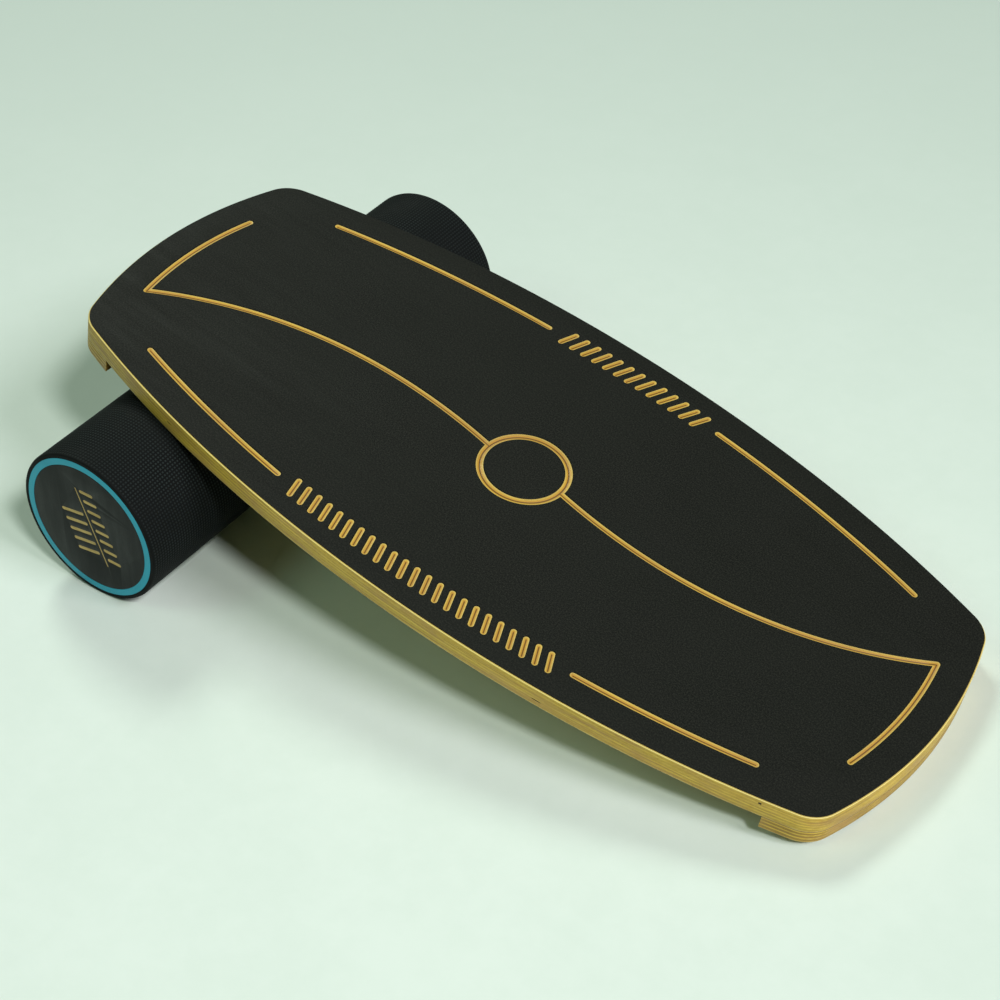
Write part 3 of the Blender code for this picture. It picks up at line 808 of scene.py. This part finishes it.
def film_finish():
    """Matte black film with a fine pebbled grain, specks of dust and rubbed streaks."""
    s = Surface("anti_slip_film", Specular_IOR_Level=0.17)
    place = s.in_axes(DECK, s.where.outputs["Object"])
    pebbles = s.cells(place, 1050.0)
    grain = s.noise(place, 820.0, 3.0, 0.8)
    cloud = s.noise(place, 14.0, 3.0, 0.6)
    dust = s.span(s.noise(place, 620.0, 4.0, 0.8), 0.66, 0.80)
    rub = s.noise(s.stretch(place, (9.0, 90.0, 90.0)), 1.0, 4.0, 0.7)
    colour = s.mix(s.span(cloud, 0.3, 0.7), *FILM_BLACKS)
    colour = s.mix(s.span(grain, 0.42, 0.66), colour, FILM_GRAIN)
    colour = s.mix(s.maths("MULTIPLY", dust, 0.45), colour, FILM_DUST)
    rough = s.span(rub, 0.3, 0.75, 0.66, 0.54)
    rough = s.maths("ADD", rough, s.maths("MULTIPLY", pebbles, 0.08))
    relief = s.maths("ADD", pebbles, s.maths("MULTIPLY", grain, 0.5))
    return s.finish(colour, rough, relief, distance=0.00010, strength=0.55)


def rubber_finish():
    """Black rubber, lighter on the tips of its studs."""
    s = Surface("sleeve_rubber", Specular_IOR_Level=0.13)
    place = s.in_axes(ROLLER, s.where.outputs["Object"])
    x, y, _ = s.split(place)
    tip_depths = (0.75 * STUD_HEIGHT, 0.15 * STUD_HEIGHT)
    tips = s.band(s.from_axis(x, y), SLEEVE_RADIUS, tip_depths, 0.0, 1.0)
    cloud = s.noise(place, 18.0, 3.0, 0.65)
    speck = s.noise(place, 1900.0, 3.0, 0.7)
    colour = s.mix(s.span(speck, 0.3, 0.7), *RUBBER_BLACKS)
    tip_share = s.maths("MULTIPLY", tips, s.span(cloud, 0.35, 0.7, 0.5, 1.0))
    colour = s.mix(tip_share, colour, RUBBER_TIP_COLOUR)
    rough = s.span(cloud, 0.3, 0.7, 0.62, 0.78)
    return s.finish(colour, rough, speck, distance=0.00006, strength=0.7)


def pipe_finish():
    """Teal plastic pipe with faint saw marks across its cut ends."""
    s = Surface("teal_pipe", Specular_IOR_Level=0.3)
    place = s.in_axes(ROLLER, s.where.outputs["Object"])
    cloud = s.noise(place, 30.0, 3.0, 0.6)
    saw = s.noise(s.stretch(place, (1500.0, 90.0, 400.0)), 1.0, 3.0, 0.6)
    colour = s.mix(s.span(cloud, 0.3, 0.7), *PIPE_TEALS)
    colour = s.mix(s.span(saw, 0.45, 0.75, 0.0, 0.3), colour, PIPE_SAWN)
    rough = s.span(saw, 0.3, 0.7, 0.38, 0.52)
    return s.finish(colour, rough, saw, distance=0.00005, strength=0.5)


def disc_finish():
    """Black faced board; below the film its routed lines show gold wood."""
    s = Surface("disc_face", Specular_IOR_Level=0.24)
    place = s.in_axes(ROLLER, s.where.outputs["Object"])
    x, y, along = s.split(place)
    below = s.maths("SUBTRACT", ROLLER_HALF, s.maths("ABSOLUTE", along))
    inside = s.maths("LESS_THAN", s.from_axis(x, y), DISC_RADIUS - 2.0 * DISC_ROUND)
    wood = s.maths("MULTIPLY", s.span(below, *DISC_FILM_FADE), inside)
    fibres = s.noise(s.stretch(place, (60.0, 900.0, 900.0)), 1.0, 4.0, 0.6)
    gold = s.mix(s.span(fibres, 0.3, 0.7), *DISC_GOLDS)
    grain = s.noise(place, 2300.0, 3.0, 0.7)
    smear = s.noise(s.stretch(place, (70.0, 14.0, 14.0)), 1.0, 4.0, 0.7)
    black = s.mix(s.span(grain, 0.3, 0.75), *DISC_BLACKS)
    black = s.mix(s.span(smear, 0.48, 0.80, 0.0, 0.12), black, DISC_SMEAR)
    colour = s.mix(wood, black, gold)
    rough = s.span(smear, 0.3, 0.7, 0.62, 0.50)
    relief = s.maths("ADD", grain, fibres)
    return s.finish(colour, rough, relief, distance=0.00007, strength=0.6)


def zinc_finish():
    """Zinc-plated steel with turning marks."""
    s = Surface("zinc_screw", Metallic=1.0)
    place = s.in_axes(DECK, s.where.outputs["Object"])
    stain = s.noise(place, 700.0, 4.0, 0.7)
    scratch = s.noise(s.stretch(place, (300.0, 3000.0, 3000.0)), 1.0, 3.0, 0.6)
    colour = s.mix(s.span(stain, 0.3, 0.7), *ZINC_GREYS)
    rough = s.span(scratch, 0.3, 0.7, 0.26, 0.44)
    return s.finish(colour, rough, scratch, distance=0.00002, strength=0.5)


def floor_finish():
    """Plain pale floor with a barely visible mottling and a painted pool of light: a little darker away from the
    board.
    """
    s = Surface("pale_floor", Specular_IOR_Level=0.15)
    place = s.where.outputs["Object"]
    broad = s.noise(place, 7.0, 4.0, 0.6)
    fine = s.noise(place, 48.0, 4.0, 0.65)
    cloud = s.maths("ADD", s.maths("MULTIPLY", broad, 0.6), s.maths("MULTIPLY", fine, 0.4))
    colour = s.mix(s.span(cloud, 0.35, 0.65), *FLOOR_COLOURS)
    # Painted pool of light: the floor dims with distance from its centre.
    away = s.distance(place, LIGHT_POOL_CENTRE)
    colour = s.mix(s.span(away, 0.0, LIGHT_POOL_RADIUS), colour, FLOOR_OUTSIDE_LIGHT_POOL)
    return s.finish(colour, s.span(fine, 0.3, 0.7, 0.80, 0.92))


# ---- deck pieces ------------------------------------------------------------
def add_plank(paths, finish):
    """Plywood plank: rounded rims, V grooves above, screw holes below, edge flaws."""
    blank = slab(deck_outline(), CORE_BOTTOM, CORE_TOP, CORE_LOW_ROUND, CORE_ROUND)
    plank = solid("plywood_plank", blank)
    cut(plank, v_cutters(paths, GROOVE_HALF_WIDTH, GROOVE_DEPTH, CORE_TOP))
    spread = RING_HALF_WIDTH * (GROOVE_DEPTH + CUT_CLEARANCE) / GROOVE_DEPTH
    profile = [
        (RING_RADIUS, CORE_TOP - GROOVE_DEPTH),
        (RING_RADIUS + spread, CORE_TOP + CUT_CLEARANCE),
        (RING_RADIUS - spread, CORE_TOP + CUT_CLEARANCE),
    ]
    cut(plank, lathe(profile, RING_SEGMENTS, closed=True))
    holes = bmesh.new()
    radius = SCREW_SHANK_RADIUS + SCREW_FIT
    top = STOP_BOTTOM + SCREW_SINK + SCREW_LENGTH + SCREW_FIT
    profile = [(radius, CORE_BOTTOM - CUT_CLEARANCE), (radius, top)]
    for place in screw_places(1) + screw_places(-1):
        lathe(profile, SCREW_SEGMENTS, centre=place, builder=holes)
    cut(plank, holes)
    for along, below, half_length, half_height in EDGE_FLAWS:
        flaw = bmesh.new()
        bmesh.ops.create_icosphere(flaw, subdivisions=3, radius=1.0)
        shape = Matrix.Diagonal((half_length, FLAW_DEPTH, half_height, 1.0))
        cut(plank, flaw, Matrix.Translation(flaw_centre(along, below)) @ shape)
    fit(plank, DECK, "deck", "deck_core", finish)


def add_film(paths, finish):
    """Film cut through along every routed line, with eased lips."""
    bed = CORE_TOP - FILM_BED
    sheet = slab(deck_outline(), bed, 0.0, FILM_BED, FILM_ROUND, FILM_INSET)
    film = solid("film_sheet", sheet)
    cut(film, film_cutters(paths))
    outer = [(RING_RADIUS + reach, height) for reach, height in film_cut_profile(RING_HALF_WIDTH)]
    cut(film, lathe(outer, RING_SEGMENTS))
    fit(film, DECK, "deck", "grip_film", finish)
    radius = RING_RADIUS - RING_HALF_WIDTH
    profile = [(radius, bed), (radius, CORE_TOP), (radius - FILM_CHAMFER, 0.0)]
    centre = solid("film_centre", lathe(profile, RING_SEGMENTS))
    fit(centre, DECK, "deck", "grip_film_centre", finish)


def screw_places(end):
    """Screw centres in one end stop."""
    places = []
    for v in SCREW_SIDE_POSITIONS:
        u = (STOP_INNER_FACE + end_offset(v)) / 2.0
        places.append((end * u, v))
    return places


def add_stop(word, end, finish):
    """Full-width block under one end, countersunk from below."""
    block = slab(stop_outline(end), STOP_BOTTOM, STOP_TOP, STOP_ROUND, STOP_TOP_ROUND)
    stop = solid("stop_block_" + word, block)
    holes = bmesh.new()
    shank = SCREW_SHANK_RADIUS + SCREW_FIT
    head = SCREW_HEAD_RADIUS + SCREW_FIT
    seat = STOP_BOTTOM + SCREW_SINK - SCREW_FIT
    profile = [
        (head, STOP_BOTTOM - CUT_CLEARANCE),
        (head, seat + SCREW_FIT),
        (shank, seat + SCREW_FIT + SCREW_HEAD_DEPTH),
        (shank, STOP_TOP + CUT_CLEARANCE),
    ]
    for place in screw_places(end):
        lathe(profile, SCREW_SEGMENTS, centre=place, builder=holes)
    cut(stop, holes)
    fit(stop, DECK, "deck", "end_stop_" + word, finish)


def cross_recess():
    """Cross-shaped driver recess, narrowing upwards into the head."""
    builder = bmesh.new()
    rings = []
    ends = ((-CUT_CLEARANCE, RECESS_MOUTH_SHARE), (RECESS_DEPTH, RECESS_FLOOR_SHARE))
    for height, share in ends:
        a, b = share * RECESS_HALF_WIDTH, share * RECESS_HALF_SPAN
        loop = []
        for i in range(4):
            spin = Matrix.Rotation(i * math.pi / 2.0, 2)
            loop += [spin @ Vector(point) for point in ((b, -a), (b, a), (a, a))]
        rings.append([(p.x, p.y, height) for p in loop])
    return skin(builder, rings)


def add_screws(word, end, finish):
    """The countersunk screws of one end stop, each turned its own way."""
    base = STOP_BOTTOM + SCREW_SINK
    thread = []
    for i in range(THREAD_TURNS):
        root = SCREW_HEAD_DEPTH + THREAD_START + i * THREAD_PITCH
        thread.append((SCREW_SHANK_RADIUS * THREAD_ROOT_SHARE, root))
        thread.append((SCREW_SHANK_RADIUS, root + THREAD_RISE))
    profile = [
        (SCREW_HEAD_RADIUS - SCREW_HEAD_EDGE, 0.0),
        (SCREW_HEAD_RADIUS, SCREW_HEAD_EDGE),
        (SCREW_HEAD_RADIUS, 2.0 * SCREW_HEAD_EDGE),
        (SCREW_SHANK_RADIUS, SCREW_HEAD_DEPTH),
        *thread,
        (SCREW_SHANK_RADIUS / 4.0, SCREW_LENGTH),
    ]
    for number, place in enumerate(screw_places(end), start=1):
        screw = solid(f"stop_screw_{word}_{number}", lathe(profile, SCREW_SEGMENTS))
        cut(screw, cross_recess())
        turn = Matrix.Rotation(SCREW_TURN * number, 4, "Z")
        pose = DECK @ Matrix.Translation((*place, base)) @ turn
        fit(screw, pose, "deck", f"screw_{word}_{number}", finish)


# ---- roller pieces ----------------------------------------------------------
def add_sleeve(finish):
    """Rubber sleeve covered in small pyramids, two grid steps to a stud."""
    columns = 2 * STUDS_ROUND
    rows = 2 * STUD_ROWS
    foot = SLEEVE_RADIUS - STUD_HEIGHT
    reach = ROLLER_HALF - SLEEVE_ROUND
    rim = rounding(SLEEVE_ROUND)[1:]
    levels = [(TUBE_RADIUS + ROLLER_FIT, -ROLLER_HALF)]
    levels += [(foot - inwards, drop - ROLLER_HALF) for inwards, drop in reversed(rim)]
    first_row = len(levels)
    levels += [(foot, reach * (2.0 * row / rows - 1.0)) for row in range(rows + 1)]
    levels += [(foot - inwards, ROLLER_HALF - drop) for inwards, drop in rim]
    levels.append((TUBE_RADIUS + ROLLER_FIT, ROLLER_HALF))

    turns = 2.0 * np.pi * np.arange(columns) / columns
    radius = np.repeat(np.array([level[0] for level in levels])[:, None], columns, axis=1)
    height = np.repeat(np.array([level[1] for level in levels])[:, None], columns, axis=1)
    radius[first_row + 1:first_row + rows:2, 1::2] = SLEEVE_RADIUS
    points = np.stack([radius * np.cos(turns), radius * np.sin(turns), height], axis=-1)

    # Each grid cell is split along the diagonal that runs to a stud's tip.
    total = len(levels)
    row, column = np.meshgrid(np.arange(total), np.arange(columns), indexing="ij")
    here = row * columns + column
    right = row * columns + (column + 1) % columns
    above = (row + 1) % total * columns + column
    beyond = (row + 1) % total * columns + (column + 1) % columns
    even = (row - first_row + column) % 2 == 0
    first = np.stack([here, right, np.where(even, beyond, above)], axis=-1)
    second = np.stack([np.where(even, here, right), beyond, above], axis=-1)
    corners = np.concatenate([first.reshape(-1, 3), second.reshape(-1, 3)])

    mesh = bpy.data.meshes.new("moulded_sleeve")
    mesh.from_pydata(points.reshape(-1, 3).tolist(), [], corners.tolist())
    sleeve = bpy.data.objects.new("moulded_sleeve", mesh)
    bpy.context.scene.collection.objects.link(sleeve)
    fit(sleeve, ROLLER, "roller_grip", "grip_sleeve", finish)


def add_pipe(finish):
    """Plastic pipe with eased rims."""
    outer = rounded_rod(TUBE_RADIUS, ROLLER_HALF, TUBE_ROUND)
    bore = DISC_RADIUS + ROLLER_FIT
    profile = [(bore, -ROLLER_HALF)] + outer + [(bore, ROLLER_HALF)]
    pipe = solid("plastic_pipe", lathe(profile, ROLLER_SEGMENTS, closed=True))
    fit(pipe, ROLLER, "tube", "roller_tube", finish)


def motif_bars(start, finish, count, reach):
    """Slanted bars on one side of the motif's line."""
    across = left_of(MOTIF_ALONG)
    near = math.copysign(MOTIF_BAR_START, reach)
    slant = math.copysign(MOTIF_SLANT, reach)
    paths = []
    for i in range(count):
        at = start + (finish - start) * i / (count - 1)
        inner = MOTIF_CENTRE + (at - slant / 2.0) * MOTIF_ALONG + near * across
        outer = MOTIF_CENTRE + (at + slant / 2.0) * MOTIF_ALONG + reach * across
        paths.append([inner, outer])
    return paths


def add_disc(word, outward, finish):
    """Plug with a routed motif on its outer face; outward is +1 or -1."""
    half = DISC_THICKNESS / 2.0
    plug = lathe(rounded_rod(DISC_RADIUS, half, DISC_ROUND), ROLLER_SEGMENTS)
    disc = solid("routed_disc_" + word, plug)
    bars = motif_bars(*MOTIF_SHORT_BARS) + motif_bars(*MOTIF_LONG_BARS)
    line_end = MOTIF_LINE_HALF * MOTIF_ALONG
    lines = [[MOTIF_CENTRE - line_end, MOTIF_CENTRE + line_end]]
    for paths, half_width in ((bars, MOTIF_BAR_HALF_WIDTH), (lines, MOTIF_LINE_HALF_WIDTH)):
        cut(disc, v_cutters(paths, half_width, half_width * MOTIF_STEEPNESS, half))
    turn = Matrix.Rotation(0.0 if outward > 0 else math.pi, 4, "Y")
    pose = ROLLER @ Matrix.Translation((0.0, 0.0, outward * (ROLLER_HALF - half))) @ turn
    fit(disc, pose, "roller_grip", "end_disc_" + word, finish)


# ---- studio -----------------------------------------------------------------
FLOOR_RADIUS = 30.0
FLOOR_SEGMENTS = 96
# The turn is in degrees, and the lens and sensor are in millimetres.
CAMERA_PLACE = (0.7946, -1.1273, 1.2099)
CAMERA_TURN = (50.234, 0.987, 35.265)
CAMERA_LENS = 82.93
CAMERA_SENSOR = 36.0
CAMERA_REACH = (0.05, 60.0)
WORLD_COLOUR = (0.55, 1.0, 0.60)
WORLD_STRENGTH = 0.05
BACKDROP_COLOUR = (0.490, 0.600, 0.520)
# Name, direction round from +x, height, softness (all degrees), strength and colour.
LIGHTS = (
    ("key", 3.0, 43.0, 20.0, 1.60, (0.95, 0.92, 0.98)),
    ("side", -26.0, 48.0, 8.3, 1.62, (0.95, 0.98, 0.95)),
    ("front", -126.0, 45.0, 23.5, 0.36, (0.70, 1.0, 0.76)),
    ("back", 145.0, 45.0, 16.0, 1.16, (0.90, 1.0, 0.89)),
)


def add_floor():
    """Round floor under the board."""
    builder = bmesh.new()
    bmesh.ops.create_circle(builder, cap_ends=True, segments=FLOOR_SEGMENTS, radius=FLOOR_RADIUS)
    floor = solid("studio_floor", builder)
    floor.data.materials.append(floor_finish())


def add_light(name, azimuth, height, softness, strength, colour):
    """Distant soft light, the same all over the floor."""
    turn = math.radians(azimuth)
    rise = math.radians(height)
    level = math.cos(rise)
    away = Vector((math.cos(turn) * level, math.sin(turn) * level, math.sin(rise)))
    data = bpy.data.lights.new(name, "SUN")
    data.angle = math.radians(softness)
    data.energy = strength
    data.color = colour
    light = bpy.data.objects.new(name, data)
    bpy.context.scene.collection.objects.link(light)
    light.rotation_euler = (-away).to_track_quat("-Z", "Y").to_euler()


def add_world():
    """Faint even light, in front of a pale backdrop that gives no light of its own."""
    world = bpy.data.worlds.new("studio")
    world.use_nodes = True
    nodes = world.node_tree.nodes
    links = world.node_tree.links
    background = nodes["Background"]
    background.inputs["Color"].default_value = (*WORLD_COLOUR, 1.0)
    background.inputs["Strength"].default_value = WORLD_STRENGTH
    backdrop = nodes.new("ShaderNodeBackground")
    backdrop.inputs["Color"].default_value = (*BACKDROP_COLOUR, 1.0)
    seen = nodes.new("ShaderNodeLightPath")
    choice = nodes.new("ShaderNodeMixShader")
    links.new(seen.outputs["Is Camera Ray"], choice.inputs[0])
    links.new(background.outputs[0], choice.inputs[1])
    links.new(backdrop.outputs[0], choice.inputs[2])
    links.new(choice.outputs[0], nodes["World Output"].inputs["Surface"])
    bpy.context.scene.world = world


def add_camera():
    """Camera at the viewing angle of the original."""
    data = bpy.data.cameras.new("camera")
    data.sensor_width = CAMERA_SENSOR
    data.lens = CAMERA_LENS
    data.clip_start, data.clip_end = CAMERA_REACH
    camera = bpy.data.objects.new("camera", data)
    bpy.context.scene.collection.objects.link(camera)
    camera.location = CAMERA_PLACE
    camera.rotation_euler = [math.radians(angle) for angle in CAMERA_TURN]
    bpy.context.scene.camera = camera


# ---- the whole scene --------------------------------------------------------
add_camera()
add_world()
add_floor()
for light in LIGHTS:
    add_light(*light)
bpy.context.scene.view_settings.view_transform = "Standard"

plank_finish = plywood("birch_plank", CORE_TOP, CORE_BOTTOM, *PLANK_LAYERS)
stop_finish = plywood("birch_stop", STOP_TOP, STOP_BOTTOM, *STOP_LAYERS)
routed = routed_paths()
add_plank(routed, plank_finish)
add_film(routed, film_finish())
zinc = zinc_finish()
for word, end in (("high", -1), ("low", 1)):
    add_stop(word, end, stop_finish)
    add_screws(word, end, zinc)

add_sleeve(rubber_finish())
add_pipe(pipe_finish())
face = disc_finish()
add_disc("front", 1, face)
add_disc("rear", -1, face)
bulkhead = frame["nodes"]["centre_bulkhead"]
for material_slot in bulkhead.material_slots:
    material_slot.material = face
